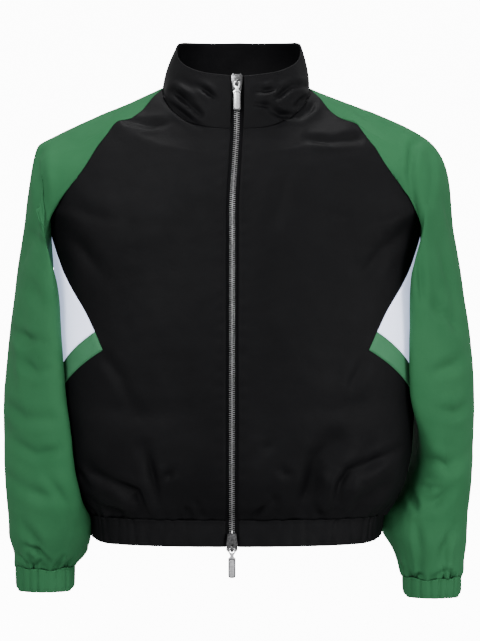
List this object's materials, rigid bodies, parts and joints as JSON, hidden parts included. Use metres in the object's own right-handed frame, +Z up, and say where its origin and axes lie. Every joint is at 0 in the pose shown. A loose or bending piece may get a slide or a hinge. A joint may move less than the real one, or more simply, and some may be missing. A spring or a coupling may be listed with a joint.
{
  "type": "track jacket",
  "caption": "Cropped zip-front track jacket with stand collar, raglan sleeves, contrast side insets, slanted pocket welts and gathered hem and cuffs.",
  "frame": {"origin": "middle of the neck, level with the top of the shoulders, where the wearer holds the jacket up", "axes": "+Z up, the front and its zip face -Y, +X is towards the wearer's left sleeve"},
  "size_m": [0.6495, 0.292, 0.7718],
  "materials": {
    "black_cloth": "matt light woven cloth",
    "green_cloth": "matt light woven cloth",
    "white_cloth": "matt light woven cloth",
    "zip_tape": "woven tape",
    "metal": "worn nickel"
  },
  "bodies": {
    "jacket": {"front_right": "black_cloth", "front_left": "black_cloth", "back": "black_cloth", "collar": "black_cloth", "hem_band_front_right": "black_cloth", "hem_band_front_left": "black_cloth", "hem_band_back": "black_cloth", "sleeve_right": "green_cloth", "sleeve_left": "green_cloth", "cuff_right": "green_cloth", "cuff_left": "green_cloth", "pocket_welt_right": "green_cloth", "pocket_welt_left": "green_cloth", "side_inset_right": "white_cloth", "side_inset_left": "white_cloth", "zip_tape_right": "zip_tape", "zip_tape_left": "zip_tape", "zip_teeth": "metal", "slider_top": "metal", "slider_bottom": "metal", "snap_right": "metal", "snap_left": "metal"},
    "top_pull": {"pull_top": "metal"},
    "bottom_pull": {"pull_bottom": "metal"}
  },
  "joints": [
    {"name": "top_pull_swing", "type": "hinge", "parent": "jacket", "child": "top_pull", "pos_m": [0.0014, -0.08877, -0.00146], "axis": [-1, 0, 0], "range_deg": [0, 160]},
    {"name": "bottom_pull_swing", "type": "hinge", "parent": "jacket", "child": "bottom_pull", "pos_m": [-0.0052, -0.12445, -0.6225], "axis": [-1, 0, 0], "range_deg": [0, 160]}
  ]
}
